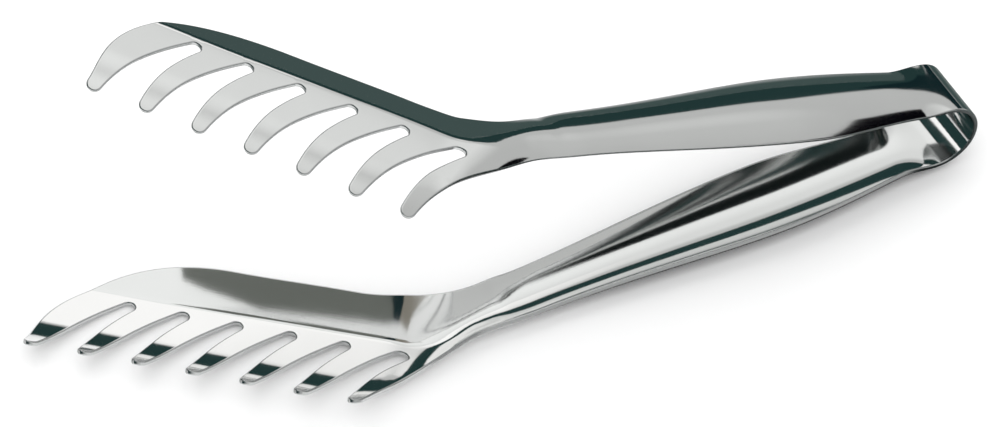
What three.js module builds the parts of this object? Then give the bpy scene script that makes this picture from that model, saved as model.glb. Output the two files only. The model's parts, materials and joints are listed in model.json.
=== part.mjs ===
// Pasta tongs pressed from one strip of polished stainless steel.
// The strip is folded into a bow at one end, and its two arms mirror each other. Each arm runs from
// the bow into a troughed grip, narrows to a neck, and turns into a comb with a raised back wall and
// a row of curled tines along its front edge.
//
// The shape is drawn twice: as the flat blank, and as the forming that bends it.
// A blank point is [along, across]. along is the distance from the middle of the bow, positive on the
// upper arm and negative on the lower one. across is the distance from the strip's guide line, which
// follows the crest of the grip. It is positive towards the back, and the tines are on the other side.
// Lengths are in millimetres, angles in degrees. +X runs towards the bow, +Y to the back, +Z up.

import * as THREE from 'three';

// Sheet and bow
const sheet = 1.0;
const bowRadius = 7.6;
const bowHalfWidth = 7.3;
const bowLandLength = 3.2;

// Stations along the strip, each counted from the one before it
const bowEdgeLength = 1.0;
const pinchLength = 12.2;
const gripLength = 33.4;
const neckLength = 59.8;
const slotStartLength = 21.5;

// Half-widths of the strip at those stations
const pinchHalfWidth = 7.0;
const gripHalfWidth = 9.9;
const neckHalfWidth = 6.5;

// Slope of the guide line away from the middle plane between the arms
const bowEndAngle = 13.3;
const gripAngle = 7.8;
const neckAngle = 10.4;
const combAngle = 7.7;
const gripSlopeLength = 53.4;
const neckSlopeLength = 52.6;
const combSlopeLength = 26.2;

// The neck turns the guide line to the back by this much, over this stretch
const combTurnAngle = 41.6;
const turnStartLength = 103.1;
const turnLength = 29.3;

// Trough of the handle, bent to these radii along its crest, with sides that come close to this angle
const troughFadeLength = 9.0;
const gripRadius = 13.6;
const neckRadius = 9.2;
const troughSteepestAngle = 75;

// Comb: its crest moves from the guide line towards the tines
const crestHoldLength = 3.9;
const crestShiftLength = 25.6;
const combCrestShift = 10.7;
const crestBlendWidth = 4.0;

// Back wall of the comb, behind a fold that is given as offsets from the guide line
const wallLeadLength = 8.5;
const wallFormLength = 26.5;
const wallStartAngle = 50;
const wallAngle = 21;
const foldWidth = 2.1;
const foldStartOffset = 3.7;
const foldOffset = 8.9;
const foldEndOffset = 10.0;

// Front of the comb, nearly flat as far as the tines, which curl
const frontHoldLength = 9.1;
const frontFormLength = 12.9;
const combFrontRadius = 257;
const combFrontWidth = 10.4;
const tineCurlRadius = 22.4;

// Rim of the comb, behind the guide line
const rimStartWidth = 0.8;
const rimEndWidth = 0.2;
const rimEndLength = 35.2;

// Tines and slots
const tineCount = 7;
const tinePitch = 10.87;
const tineSlantAngle = 42.5;
const tineLength = 24.3;
const tineTipRadius = 1.6;
const slotEndRadius = 1.3;
const slotLineToCrest = 2.0;
const tineSweepLength = 7.4;
const tineSweepDepth = 20.0;
const sweepFadeLength = 6.0;

// Handles of the two free-form edges that run into the first and the last tine
const outerRimHandle = 30.0;
const outerTipHandle = 9.9;
const frontNeckHandle = 12.8;
const frontTipHandle = 30.3;

// Where those edges pass the slot ends, as shares of each edge
const outerRootShare = 0.46;
const frontRootShare = 0.393;
const slotEndShare = 0.1;

// Where the handle ends, as a share of the way from the grip to the neck
const handleEndShare = 0.5;

// How finely the strip is divided
const guideStep = sheet / 4;
const bowRows = 12;
const handleRows = 14;
const neckRows = 8;
const columns = 5;
const tineRows = 7;
const slotEndRows = 3;
const outerRays = 8;
const sectionSteps = 24;
const halvings = 30;
const tipAngles = [60, 30];

const rightAngle = 90;
const radians = Math.PI / 180;

// Stations, summed from the lengths above
const bowEnd = bowRadius * (rightAngle - bowEndAngle) * radians;
const landEnd = bowEnd + bowLandLength;
const troughFull = bowEnd + troughFadeLength;
const pinchAt = bowEdgeLength + pinchLength;
const gripAt = pinchAt + gripLength;
const neckAt = gripAt + neckLength;
const lastSlotAt = neckAt + slotStartLength;
const firstSlotAt = lastSlotAt + (tineCount - 2) * tinePitch;
const gripSlopeAt = landEnd + gripSlopeLength;
const neckSlopeAt = gripSlopeAt + neckSlopeLength;
const combSlopeAt = neckSlopeAt + combSlopeLength;
const wallStartAt = neckAt - wallLeadLength;
const rimEndAt = lastSlotAt + rimEndLength;
const guideEnd = firstSlotAt + tinePitch + tineLength + tineSweepLength;
const slotLineOffset = combCrestShift + slotLineToCrest;

// Small helpers
const clamp01 = (t) => Math.min(Math.max(t, 0), 1);

function ease(t) {
  const c = clamp01(t);
  return c * c * (3 - 2 * c);
}

const mix = (a, b, t) => a + (b - a) * t;
const mixPoint = (a, b, t) => [mix(a[0], b[0], t), mix(a[1], b[1], t)];
const offset = (p, direction, length) => [p[0] + direction[0] * length, p[1] + direction[1] * length];
const distance = (p, q) => Math.hypot(q[0] - p[0], q[1] - p[1]);
const unitFrom = (p, q) => [(q[0] - p[0]) / distance(p, q), (q[1] - p[1]) / distance(p, q)];

// A value that eases from each station to the next
function through(stations, at) {
  let value = stations[0][1];
  for (let i = 1; i < stations.length; i += 1) {
    const [from, before] = stations[i - 1];
    const [to, after] = stations[i];
    if (at > from) value = mix(before, after, ease((at - from) / (to - from)));
  }
  return value;
}

const steps = (count) => Array.from({ length: count + 1 }, (_, i) => i / count);

// Forming: the guide line, as a chain of frames
const slopeStations = [
  [landEnd, bowEndAngle],
  [gripSlopeAt, gripAngle],
  [neckSlopeAt, neckAngle],
  [combSlopeAt, combAngle],
];

function guideDirection(along) {
  const slope = along < bowEnd ? rightAngle - along / bowRadius / radians : through(slopeStations, along);
  const turn = combTurnAngle * ease((along - turnStartLength) / turnLength);
  return { slope: slope * radians, turn: turn * radians };
}

function tangentAt({ slope, turn }) {
  return new THREE.Vector3(
    -Math.cos(slope) * Math.cos(turn),
    Math.cos(slope) * Math.sin(turn),
    Math.sin(slope),
  );
}

function buildGuide() {
  const points = [new THREE.Vector3(bowRadius, 0, 0)];
  for (let along = 0; along < guideEnd; along += guideStep) {
    const step = tangentAt(guideDirection(along + guideStep / 2)).multiplyScalar(guideStep);
    points.push(points.at(-1).clone().add(step));
  }
  return points;
}

const guide = buildGuide();

function guidePoint(along) {
  const place = along / guideStep;
  const index = Math.min(Math.floor(place), guide.length - 2);
  return guide[index].clone().lerp(guide[index + 1], place - index);
}

// Forming: the section across the strip
const troughBends = [
  [bowEnd, 0],
  [troughFull, 1 / gripRadius],
  [gripAt, 1 / gripRadius],
  [neckAt, 1 / neckRadius],
];
const wallAngles = [
  [wallStartAt, wallStartAngle],
  [lastSlotAt, wallAngle],
];
const foldLine = [
  [wallStartAt, foldStartOffset],
  [lastSlotAt, -foldOffset],
  [firstSlotAt, -foldEndOffset],
];
const crestLine = (along) => -combCrestShift * ease((along - neckAt - crestHoldLength) / crestShiftLength);

// Slope of the section as a function of the distance from its crest, which is positive towards the back
function sectionAngleAt(along) {
  const bend = through(troughBends, along);
  const wall = through(wallAngles, along) * radians;
  const foldAt = through(foldLine, along) - crestLine(along);
  const backShare = ease((along - wallStartAt) / wallFormLength);
  const frontShare = ease((along - neckAt - frontHoldLength) / frontFormLength);
  const steepest = troughSteepestAngle * radians;
  return (reach) => {
    const trough = steepest * Math.tanh((reach * bend) / steepest);
    const fold = ease((reach - foldAt) / foldWidth + 0.5);
    const forwards = Math.max(-reach, 0);
    const flat = Math.min(forwards, combFrontWidth);
    const comb = wall * fold - flat / combFrontRadius - (forwards - flat) / tineCurlRadius;
    const backness = ease(reach / crestBlendWidth + 0.5);
    return mix(trough, comb, mix(frontShare, backShare, backness));
  };
}

function sectionPoint(along, across, outwards) {
  const angleAt = sectionAngleAt(along);
  const crest = crestLine(along);
  const reach = across - crest;
  const angle = angleAt(reach);
  let side = crest + outwards * Math.sin(angle);
  let drop = -outwards * Math.cos(angle);
  for (let i = 0; i < sectionSteps; i += 1) {
    const slope = angleAt((reach * (i + 0.5)) / sectionSteps);
    side += (reach * Math.cos(slope)) / sectionSteps;
    drop += (reach * Math.sin(slope)) / sectionSteps;
  }
  return { side, drop };
}

// The tines sweep back along the strip, more the farther they are from the slot line
function sweep(across) {
  const depth = Math.max(-slotLineOffset - across, 0) / tineSweepDepth;
  return tineSweepLength * depth * depth;
}

function sweptAlong(along, across) {
  const sweepStart = neckAt - sweepFadeLength;
  const sweepFull = lastSlotAt - tinePitch;
  return along - sweep(across) * ease((along - sweepStart) / (sweepFull - sweepStart));
}

// The place in space of a blank point, on the outer face, the inner face or between them
function formed([blankAlong, across], outwards) {
  const along = sweptAlong(Math.abs(blankAlong), across);
  const { slope, turn } = guideDirection(along);
  const tangent = tangentAt({ slope, turn });
  const sideways = new THREE.Vector3(Math.sin(turn), Math.cos(turn), 0);
  const outward = new THREE.Vector3().crossVectors(sideways, tangent).normalize();
  const { side, drop } = sectionPoint(along, across, outwards);
  const point = guidePoint(along).addScaledVector(sideways, side).addScaledVector(outward, -drop);
  if (blankAlong < 0) point.z = -point.z;
  return point;
}

// Blank: edges of the strip
const stripStations = [
  [bowEdgeLength, bowHalfWidth],
  [pinchAt, pinchHalfWidth],
  [gripAt, gripHalfWidth],
  [neckAt, neckHalfWidth],
];
const rimStations = [
  ...stripStations,
  [lastSlotAt + tinePitch, rimStartWidth],
  [rimEndAt, rimEndWidth],
];
const backEdge = (along) => [along, through(rimStations, along)];
const frontEdge = (along) => [along, -through(stripStations, along)];

// Blank: tines and slots, numbered from the tip of the comb. A slot follows each tine but the last
const tineDirection = [Math.sin(tineSlantAngle * radians), -Math.cos(tineSlantAngle * radians)];
const towardsTip = [-tineDirection[1], tineDirection[0]];
const slotCentre = (slot) => [lastSlotAt + (tineCount - 1 - slot) * tinePitch, -slotLineOffset];
const slotApex = (slot) => offset(slotCentre(slot), tineDirection, -slotEndRadius);
const tipCentre = (tine) => {
  const root = [lastSlotAt + (tineCount - 0.5 - tine) * tinePitch, -slotLineOffset];
  return offset(root, tineDirection, tineLength);
};

// A blank point moved along by the sweep of the tines, or back again
const withSweep = ([along, across], hand) => [along - hand * sweep(across), across];

// The blank of a tip that is round once its tine is swept. The angle is 90 on the tip's side of the comb
function tipPoint(tine, angle, radius = tineTipRadius) {
  const centre = withSweep(tipCentre(tine), 1);
  const further = withSweep(offset(tipCentre(tine), tineDirection, guideStep), 1);
  const ahead = unitFrom(centre, further);
  const beside = [-ahead[1], ahead[0]];
  const forward = offset(centre, ahead, radius * Math.cos(angle * radians));
  return withSweep(offset(forward, beside, radius * Math.sin(angle * radians)), -1);
}

const tineSide = (tine, hand) => tipPoint(tine, hand * rightAngle);
const sideDirection = (tine, hand) => unitFrom(tineSide(tine, hand), tipPoint(tine, hand * (rightAngle - 1)));

function cubic([a, b, c, d], t) {
  const curve = new THREE.CubicBezierCurve(
    new THREE.Vector2(...a),
    new THREE.Vector2(...b),
    new THREE.Vector2(...c),
    new THREE.Vector2(...d),
  );
  return curve.getPoint(t).toArray();
}

// The back edge rounds the end of the comb into the first tine
function outerEdgePoint(share) {
  const start = backEdge(rimEndAt);
  const rimDirection = unitFrom(backEdge(rimEndAt - guideStep), start);
  const end = tineSide(1, 1);
  const rimHandle = offset(start, rimDirection, outerRimHandle);
  const tipHandle = offset(end, sideDirection(1, 1), -outerTipHandle);
  return cubic([start, rimHandle, tipHandle, end], share);
}

// How far round that edge a place along the strip lies
function outerShareAt(along) {
  let [low, high] = [0, outerRootShare];
  for (let i = 0; i < halvings; i += 1) {
    const middle = (low + high) / 2;
    if (outerEdgePoint(middle)[0] < along) low = middle;
    else high = middle;
  }
  return low;
}

const rimPoint = (along) => (along < rimEndAt ? backEdge(along) : outerEdgePoint(outerShareAt(along)));

// The front edge flows from the neck into the last tine
function innerEdgePoint(share) {
  const start = frontEdge(neckAt);
  const end = tineSide(tineCount, -1);
  const neckHandle = offset(start, [1, 0], frontNeckHandle);
  const tipHandle = offset(end, sideDirection(tineCount, -1), -frontTipHandle);
  return cubic([start, neckHandle, tipHandle, end], share);
}

// One side of a tine, from the slot end down to its tip. hand is 1 towards the comb's tip, -1 towards the neck
function tineEdge(tine, hand) {
  const slot = hand > 0 ? tine - 1 : tine;
  const edge = hand > 0 ? outerEdgePoint : innerEdgePoint;
  const rootShare = hand > 0 ? outerRootShare : frontRootShare;
  const isFree = slot === 0 || slot === tineCount;
  const arcPoint = (t) => {
    if (isFree) return edge(rootShare + slotEndShare * t);
    const angle = t * Math.PI / 2;
    const back = offset(slotCentre(slot), tineDirection, -slotEndRadius * Math.cos(angle));
    return offset(back, towardsTip, -hand * slotEndRadius * Math.sin(angle));
  };
  const sidePoint = (t) => {
    if (isFree) return edge(mix(rootShare + slotEndShare, 1, t));
    return mixPoint(arcPoint(1), tineSide(tine, hand), t);
  };
  return {
    root: steps(slotEndRows).map(arcPoint),
    side: steps(tineRows).map(sidePoint),
  };
}

// Cells: four-sided patches of the blank between two rows of points
function rowBetween(from, to, count = columns) {
  return steps(count).map((t) => mixPoint(from, to, t));
}

function cellsBetweenRows(rows) {
  const cells = [];
  for (let i = 1; i < rows.length; i += 1) {
    for (let j = 1; j < rows[i].length; j += 1) {
      cells.push([rows[i - 1][j - 1], rows[i - 1][j], rows[i][j], rows[i][j - 1]]);
    }
  }
  return cells;
}

const stripRow = (along) => rowBetween(frontEdge(along), backEdge(along), 2 * columns);
const stripCells = (from, to, rows) => cellsBetweenRows(steps(rows).map((t) => stripRow(mix(from, to, t))));

// The tine proper, from its root to its round tip
function tineCells(tine) {
  const near = tineEdge(tine, -1).side;
  const far = tineEdge(tine, 1).side;
  const rows = near.map((point, i) => rowBetween(point, far[i]));
  for (const angle of tipAngles) rows.push(rowBetween(tipPoint(tine, -angle), tipPoint(tine, angle)));
  const tip = tipPoint(tine, 0);
  rows.push(rowBetween(tip, tip));
  return cellsBetweenRows(rows);
}

// The root of a tine, beside its slot ends, belongs to the comb
function tineRootCells(tine) {
  const near = tineEdge(tine, -1).root;
  const far = tineEdge(tine, 1).root;
  return cellsBetweenRows(near.map((point, i) => rowBetween(point, far[i])));
}

// From the neck to the line through the end of the last slot
function combStartCells() {
  const apex = slotApex(tineCount - 1);
  const rows = steps(neckRows).map((t) => {
    const middle = mixPoint([neckAt, 0], apex, t);
    const front = rowBetween(innerEdgePoint(frontRootShare * t), middle);
    const back = rowBetween(middle, backEdge(mix(neckAt, apex[0], t)));
    return [...front, ...back.slice(1)];
  });
  return cellsBetweenRows(rows);
}

// From one slot end to the next, up to the back edge
function combBayCells(slot) {
  const from = slotApex(slot);
  const to = slotApex(slot - 1);
  const rows = steps(columns).map((t) => {
    const low = mixPoint(from, to, t);
    return rowBetween(low, rimPoint(low[0]));
  });
  return cellsBetweenRows(rows);
}

// Round the first slot's end, from the back edge to the first tine
function combEndCells() {
  const centre = slotApex(1);
  const start = outerShareAt(centre[0]);
  const rows = steps(outerRays).map((t) => rowBetween(centre, outerEdgePoint(mix(start, outerRootShare, t))));
  return cellsBetweenRows(rows);
}

function combCells() {
  const cells = [...combStartCells(), ...combEndCells()];
  for (let slot = tineCount - 1; slot > 1; slot -= 1) cells.push(...combBayCells(slot));
  for (let tine = 1; tine <= tineCount; tine += 1) cells.push(...tineRootCells(tine));
  return cells;
}

// A closed sheet body from cells: an outer face, an inner face and a wall along every free edge
const pointKey = ([along, across]) => `${(along / sheet).toFixed(6)},${(across / sheet).toFixed(6)}`;

function sheetGeometry(cells) {
  const positions = [];
  const index = [];
  const vertexOf = new Map();
  const edges = new Map();

  const vertices = (point) => {
    const key = pointKey(point);
    if (!vertexOf.has(key)) {
      vertexOf.set(key, positions.length / 3);
      positions.push(...formed(point, sheet / 2).toArray(), ...formed(point, -sheet / 2).toArray());
    }
    return { key, outer: vertexOf.get(key), inner: vertexOf.get(key) + 1 };
  };

  for (const cell of cells) {
    const corners = cell.map(vertices).filter((corner, i, all) => corner.key !== all.at(i - 1).key);
    for (let i = 2; i < corners.length; i += 1) {
      const [a, b, c] = [corners[0], corners[i - 1], corners[i]];
      index.push(a.outer, b.outer, c.outer, a.inner, c.inner, b.inner);
    }
    corners.forEach((to, i) => {
      const from = corners.at(i - 1);
      edges.set(`${from.key}>${to.key}`, { from, to });
    });
  }

  for (const { from, to } of edges.values()) {
    if (edges.has(`${to.key}>${from.key}`)) continue;
    if (from.key < to.key) index.push(to.outer, from.outer, from.inner, to.outer, from.inner, to.inner);
    else index.push(to.outer, from.outer, to.inner, from.outer, from.inner, to.inner);
  }

  const geometry = new THREE.BufferGeometry();
  geometry.setAttribute('position', new THREE.Float32BufferAttribute(positions, 3));
  geometry.setIndex(index);
  geometry.computeVertexNormals();
  return geometry;
}

// The same cells on the lower arm
const mirrored = (cells) => cells.map((cell) => cell.map(([along, across]) => [-along, across]).reverse());

const steel = { roughness: 0.12, metalness: 1 };
const outerSteel = new THREE.MeshStandardMaterial({ ...steel, color: 0xc9cccb });
const tineSteel = new THREE.MeshStandardMaterial({ ...steel, color: 0xd6d8d6 });

function sheetMesh(name, cells, material) {
  const mesh = new THREE.Mesh(sheetGeometry(cells), material);
  mesh.name = name;
  return mesh;
}

function buildArm(name, turnOver) {
  const arm = new THREE.Group();
  const add = (part, cells, material) => arm.add(sheetMesh(`${name}_${part}`, turnOver(cells), material));
  const handleEnd = mix(gripAt, neckAt, handleEndShare);
  const landCells = stripCells(bowEnd, landEnd, 1);
  add('handle', [...landCells, ...stripCells(landEnd, handleEnd, handleRows)], outerSteel);
  add('neck', stripCells(handleEnd, neckAt, neckRows), outerSteel);
  add('comb', combCells(), outerSteel);
  for (let tine = 1; tine <= tineCount; tine += 1) add(`tine_${tine}`, tineCells(tine), tineSteel);
  return arm;
}

// Points of a group, seen from the side
function sidePoints(group) {
  const points = [];
  group.updateMatrixWorld(true);
  group.traverse((object) => {
    if (!object.isMesh) return;
    const position = object.geometry.getAttribute('position');
    for (let i = 0; i < position.count; i += 1) points.push([position.getX(i), position.getZ(i)]);
  });
  return points.sort((p, q) => p[0] - q[0] || p[1] - q[1]);
}

// The straight line that carries the tongs from below, under the grip and under the comb
function restingSlope(points) {
  const hull = [];
  const turns = ([ax, az], [bx, bz], [cx, cz]) => (bx - ax) * (cz - az) - (bz - az) * (cx - ax);
  for (const point of points) {
    while (hull.length > 1 && turns(hull.at(-2), hull.at(-1), point) <= 0) hull.pop();
    hull.push(point);
  }
  const middle = (points[0][0] + points.at(-1)[0]) / 2;
  const next = hull.findIndex(([x]) => x > middle);
  const [[fromX, fromZ], [toX, toZ]] = [hull[next - 1], hull[next]];
  return Math.atan2(toZ - fromZ, toX - fromX);
}

const tongs = new THREE.Group();
tongs.add(sheetMesh('spring_bow', stripCells(-bowEnd, bowEnd, 2 * bowRows), outerSteel));
tongs.add(buildArm('upper', (cells) => cells));
tongs.add(buildArm('lower', mirrored));

// The tongs lie on their lower arm, with the middle of their box over the origin
tongs.rotation.y = restingSlope(sidePoints(tongs));
tongs.updateMatrixWorld(true);
const box = new THREE.Box3().setFromObject(tongs, true);
tongs.position.set(-(box.min.x + box.max.x) / 2, -(box.min.y + box.max.y) / 2, -box.min.z);

export default tongs;
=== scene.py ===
# %% [markdown]
# # Pasta tongs of polished steel
# The real tongs are one strip of stainless sheet. It is folded into a springy bow at one end, and each
# of its two arms runs through a troughed grip and a narrow neck into a comb of curled tines.
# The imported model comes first. It holds the true places of everything, and each visible piece made
# below stands where its solid stands.

# %% The fixed frame
import json
import math

import bpy
import numpy as np
from mathutils import Matrix, Vector
from mathutils.geometry import delaunay_2d_cdt


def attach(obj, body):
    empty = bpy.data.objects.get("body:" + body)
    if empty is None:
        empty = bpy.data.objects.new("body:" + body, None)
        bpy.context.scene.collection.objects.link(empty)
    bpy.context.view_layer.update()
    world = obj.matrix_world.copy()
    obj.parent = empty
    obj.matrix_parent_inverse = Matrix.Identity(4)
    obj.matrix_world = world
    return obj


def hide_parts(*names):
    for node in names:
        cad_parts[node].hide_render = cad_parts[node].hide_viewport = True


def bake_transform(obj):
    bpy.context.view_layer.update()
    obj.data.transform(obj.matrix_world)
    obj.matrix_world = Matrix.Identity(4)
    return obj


bpy.context.scene.view_settings.view_transform = "Standard"
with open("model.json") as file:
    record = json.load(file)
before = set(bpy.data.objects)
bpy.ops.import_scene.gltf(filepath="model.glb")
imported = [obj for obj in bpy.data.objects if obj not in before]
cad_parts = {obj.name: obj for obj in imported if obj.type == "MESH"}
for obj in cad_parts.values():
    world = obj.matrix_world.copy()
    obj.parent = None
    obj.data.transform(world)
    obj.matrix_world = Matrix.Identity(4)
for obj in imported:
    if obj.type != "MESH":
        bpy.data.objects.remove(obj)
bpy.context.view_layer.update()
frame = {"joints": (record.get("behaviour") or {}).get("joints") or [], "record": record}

# %% [markdown]
# ## Two drawings of one strip
# A press shop draws such a part twice: as the flat blank that is cut from the sheet, and as the forming
# that bends it. This lesson does the same. A blank point is (along, across): along is the distance from
# the middle of the bow, and across the distance from a guide line that follows the crest of the grip,
# positive towards the back. Because a function bends the blank, the mesh can be as fine as a mirror
# finish needs, and its normals can be worked out instead of guessed from the faces.

# %% Sizes of the strip, in millimetres and degrees
SHEET = 1.0
BOW_RADIUS = 7.6
BOW_HALF_WIDTH = 7.3
BOW_LAND_LENGTH = 3.2
BOW_EDGE_LENGTH = 1.0
PINCH_LENGTH = 12.2
GRIP_LENGTH = 33.4
NECK_LENGTH = 59.8
SLOT_START_LENGTH = 21.5
PINCH_HALF_WIDTH = 7.0
GRIP_HALF_WIDTH = 9.9
NECK_HALF_WIDTH = 6.5
HANDLE_END_SHARE = 0.5
print(f"strip: {SHEET} mm thick and up to {2 * GRIP_HALF_WIDTH:.1f} mm wide along its handles")

# %% Slopes and turns of the guide line
BOW_END_ANGLE = 13.3
GRIP_ANGLE = 7.8
NECK_ANGLE = 10.4
COMB_ANGLE = 7.7
GRIP_SLOPE_LENGTH = 53.4
NECK_SLOPE_LENGTH = 52.6
COMB_SLOPE_LENGTH = 26.2
COMB_TURN_ANGLE = 41.6
TURN_START_LENGTH = 103.1
TURN_LENGTH = 29.3
print(f"comb: turned aside by {COMB_TURN_ANGLE} degrees")

# %% The bend across the strip, and the widths that it holds for
TROUGH_FADE_LENGTH = 9.0
GRIP_RADIUS = 13.6
NECK_RADIUS = 9.2
TROUGH_STEEPEST_ANGLE = 75
CREST_HOLD_LENGTH = 3.9
CREST_SHIFT_LENGTH = 25.6
COMB_CREST_SHIFT = 10.7
CREST_BLEND_WIDTH = 4.0
WALL_LEAD_LENGTH = 8.5
WALL_FORM_LENGTH = 26.5
WALL_START_ANGLE = 50
WALL_ANGLE = 21
FOLD_WIDTH = 2.1
FOLD_START_OFFSET = 3.7
FOLD_OFFSET = 8.9
FOLD_END_OFFSET = 10.0
FRONT_HOLD_LENGTH = 9.1
FRONT_FORM_LENGTH = 12.9
COMB_FRONT_RADIUS = 257
COMB_FRONT_WIDTH = 10.4
TINE_CURL_RADIUS = 22.4
print(f"trough: {GRIP_RADIUS} mm in radius along its crest in the grip, {NECK_RADIUS} mm in the neck")

# %% Widths of the comb behind the guide line
RIM_START_WIDTH = 0.8
RIM_END_WIDTH = 0.2
RIM_END_LENGTH = 35.2
print(f"back edge: {RIM_START_WIDTH} mm behind the guide line, then {RIM_END_WIDTH} mm")

# %% Tines, slots and the two free-form edges beside them
TINE_COUNT = 7
TINE_PITCH = 10.87
TINE_SLANT_ANGLE = 42.5
TINE_LENGTH = 24.3
TINE_TIP_RADIUS = 1.6
SLOT_END_RADIUS = 1.3
SLOT_LINE_TO_CREST = 2.0
TINE_SWEEP_LENGTH = 7.4
TINE_SWEEP_DEPTH = 20.0
SWEEP_FADE_LENGTH = 6.0
OUTER_RIM_HANDLE = 30.0
OUTER_TIP_HANDLE = 9.9
FRONT_NECK_HANDLE = 12.8
FRONT_TIP_HANDLE = 30.3
OUTER_ROOT_SHARE = 0.46
FRONT_ROOT_SHARE = 0.393
SLOT_END_SHARE = 0.1
print(f"tines: {TINE_COUNT} on each arm, {TINE_PITCH} mm apart")

# %% Stations along the strip, summed from those lengths
BOW_END = BOW_RADIUS * math.radians(90 - BOW_END_ANGLE)
LAND_END = BOW_END + BOW_LAND_LENGTH
PINCH_AT = BOW_EDGE_LENGTH + PINCH_LENGTH
GRIP_AT = PINCH_AT + GRIP_LENGTH
NECK_AT = GRIP_AT + NECK_LENGTH
HANDLE_END = GRIP_AT + (NECK_AT - GRIP_AT) * HANDLE_END_SHARE
LAST_SLOT_AT = NECK_AT + SLOT_START_LENGTH
FIRST_SLOT_AT = LAST_SLOT_AT + (TINE_COUNT - 2) * TINE_PITCH
SLOT_LINE_OFFSET = COMB_CREST_SHIFT + SLOT_LINE_TO_CREST
RIM_END_AT = LAST_SLOT_AT + RIM_END_LENGTH
WALL_START_AT = NECK_AT - WALL_LEAD_LENGTH
GRIP_SLOPE_AT = LAND_END + GRIP_SLOPE_LENGTH
NECK_SLOPE_AT = GRIP_SLOPE_AT + NECK_SLOPE_LENGTH
COMB_SLOPE_AT = NECK_SLOPE_AT + COMB_SLOPE_LENGTH
GUIDE_END = FIRST_SLOT_AT + TINE_PITCH + TINE_LENGTH + TINE_SWEEP_LENGTH
print(f"stations: {NECK_AT:.1f} mm to the neck, {FIRST_SLOT_AT:.1f} mm to the first slot")

# %% [markdown]
# ## Forming
# The guide line is a chain of short steps, each in the direction that slope and turn give at that
# place. Across it, the section is a trough in the handle. In the comb it is a flat floor with a fold and
# a straight wall at its back, and with the curl of the tines at its front.


# %% Values that ease from one station to the next
def ease(t):
    t = np.clip(t, 0, 1)
    return t * t * (3 - 2 * t)


def through(stations, at):
    """Values at the places given by at. Each station is a place and its value."""
    value = np.full_like(at, stations[0][1])
    for (start, before), (end, after) in zip(stations, stations[1:]):
        eased = before + (after - before) * ease((at - start) / (end - start))
        value = np.where(at > start, eased, value)
    return value


print("a quarter of the way, eased:", ease(0.25))

# %% The guide line
GUIDE_STEP = SHEET / 4
SLOPES = [
    (LAND_END, BOW_END_ANGLE),
    (GRIP_SLOPE_AT, GRIP_ANGLE),
    (NECK_SLOPE_AT, NECK_ANGLE),
    (COMB_SLOPE_AT, COMB_ANGLE),
]


def guide_directions(along):
    """Tangent, sideways and outward directions, for an array of places along the guide line."""
    in_bow = 90 - np.degrees(along / BOW_RADIUS)
    slope = np.radians(np.where(along < BOW_END, in_bow, through(SLOPES, along)))
    turn = np.radians(COMB_TURN_ANGLE) * ease((along - TURN_START_LENGTH) / TURN_LENGTH)
    tangent = np.stack([-np.cos(slope) * np.cos(turn), np.cos(slope) * np.sin(turn), np.sin(slope)], -1)
    sideways = np.stack([np.sin(turn), np.cos(turn), 0 * turn], -1)
    outward = np.cross(sideways, tangent)
    return tangent, sideways, outward / np.linalg.norm(outward, axis=-1, keepdims=True)


guide_places = np.arange(0, GUIDE_END, GUIDE_STEP)
guide_steps = guide_directions(guide_places[:-1] + GUIDE_STEP / 2)[0] * GUIDE_STEP
guide_points = np.vstack([[BOW_RADIUS, 0, 0], guide_steps]).cumsum(axis=0)


def guide_point(along):
    return np.stack([np.interp(along, guide_places, guide_points[:, k]) for k in range(3)], -1)


print(f"guide line: {len(guide_points)} points, ending {-guide_points[-1, 0]:.1f} mm from the bow's centre")

# %% The section across the strip
TROUGH_BENDS = [
    (BOW_END, 0),
    (BOW_END + TROUGH_FADE_LENGTH, 1 / GRIP_RADIUS),
    (GRIP_AT, 1 / GRIP_RADIUS),
    (NECK_AT, 1 / NECK_RADIUS),
]
WALL_ANGLES = [(WALL_START_AT, WALL_START_ANGLE), (LAST_SLOT_AT, WALL_ANGLE)]
FOLD_LINE = [
    (WALL_START_AT, FOLD_START_OFFSET),
    (LAST_SLOT_AT, -FOLD_OFFSET),
    (FIRST_SLOT_AT, -FOLD_END_OFFSET),
]
SECTION_STEPS = 24
section_shares = (np.arange(SECTION_STEPS) + 0.5) / SECTION_STEPS


def crest_line(along):
    return -COMB_CREST_SHIFT * ease((along - NECK_AT - CREST_HOLD_LENGTH) / CREST_SHIFT_LENGTH)


def section_angle(along, reach):
    """Slope of the section, at distances from its crest that are positive towards the back."""
    steepest = math.radians(TROUGH_STEEPEST_ANGLE)
    trough = steepest * np.tanh(reach * through(TROUGH_BENDS, along) / steepest)
    wall = np.radians(through(WALL_ANGLES, along))
    fold = ease((reach - through(FOLD_LINE, along) + crest_line(along)) / FOLD_WIDTH + 0.5)
    forwards = np.maximum(-reach, 0)
    flat = np.minimum(forwards, COMB_FRONT_WIDTH)
    comb = wall * fold - flat / COMB_FRONT_RADIUS - (forwards - flat) / TINE_CURL_RADIUS
    back_share = ease((along - WALL_START_AT) / WALL_FORM_LENGTH)
    front_share = ease((along - NECK_AT - FRONT_HOLD_LENGTH) / FRONT_FORM_LENGTH)
    backness = ease(reach / CREST_BLEND_WIDTH + 0.5)
    return trough + (comb - trough) * (front_share + (back_share - front_share) * backness)


def section_point(along, across, outwards):
    """Distance sideways from the guide line, and inwards from its crest."""
    crest = crest_line(along)
    reach = across - crest
    angles = section_angle(along[..., None], reach[..., None] * section_shares)
    angle = section_angle(along, reach)
    side = crest + reach * np.cos(angles).mean(axis=-1) + outwards * np.sin(angle)
    drop = reach * np.sin(angles).mean(axis=-1) - outwards * np.cos(angle)
    return side, drop


grip_side = section_angle(np.array(GRIP_AT), np.array(GRIP_HALF_WIDTH))
print(f"sides of the grip: {math.degrees(grip_side):.0f} degrees steep at the edge")

# %% The place of a blank point in space
NORMAL_REACH = SHEET / 20


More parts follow.
